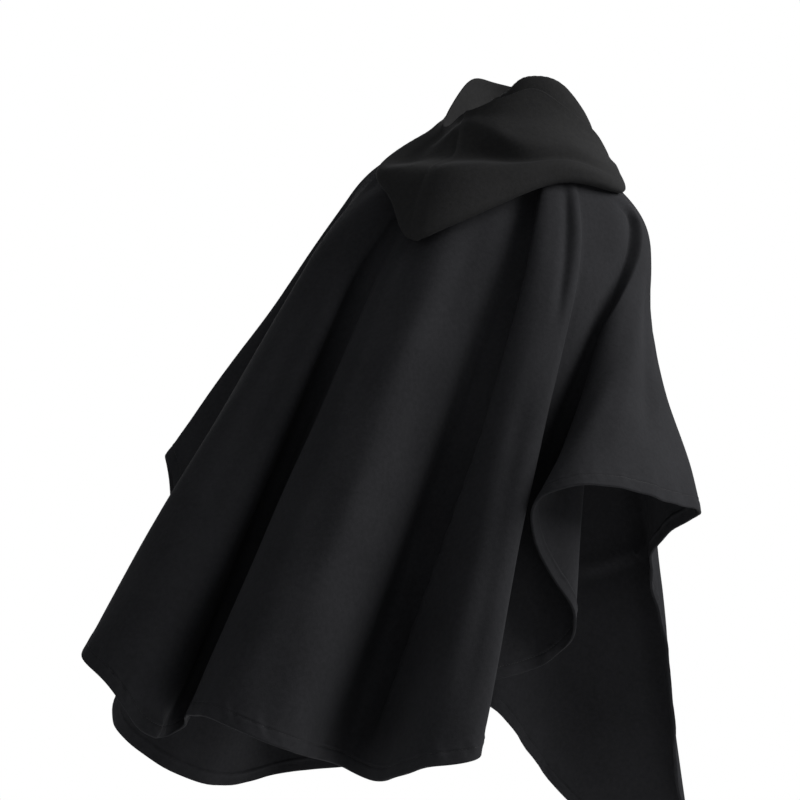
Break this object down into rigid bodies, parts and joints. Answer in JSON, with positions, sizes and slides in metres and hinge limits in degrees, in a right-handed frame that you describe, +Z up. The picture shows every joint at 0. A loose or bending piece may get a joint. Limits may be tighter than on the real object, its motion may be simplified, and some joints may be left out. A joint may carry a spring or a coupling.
{
  "type": "hooded poncho",
  "caption": "Knee-length hooded wool poncho in its hollow worn form, hood folded down behind, with soft folds falling from the shoulders over both arms to an uneven hem.",
  "frame": {"origin": "base of the neck, midway between the shoulders and at their height, where the worn garment is held", "axes": "+Z up; the wearer faces -Y, so +Y is behind and +X is the wearer's left"},
  "size_m": [0.9392, 0.6974, 1.1389],
  "materials": {
    "wool": "matte felted wool with a soft nap, near-black charcoal"
  },
  "bodies": {
    "root": {"poncho_back": "wool", "poncho_front": "wool", "hood_left": "wool", "hood_right": "wool"}
  },
  "joints": []
}
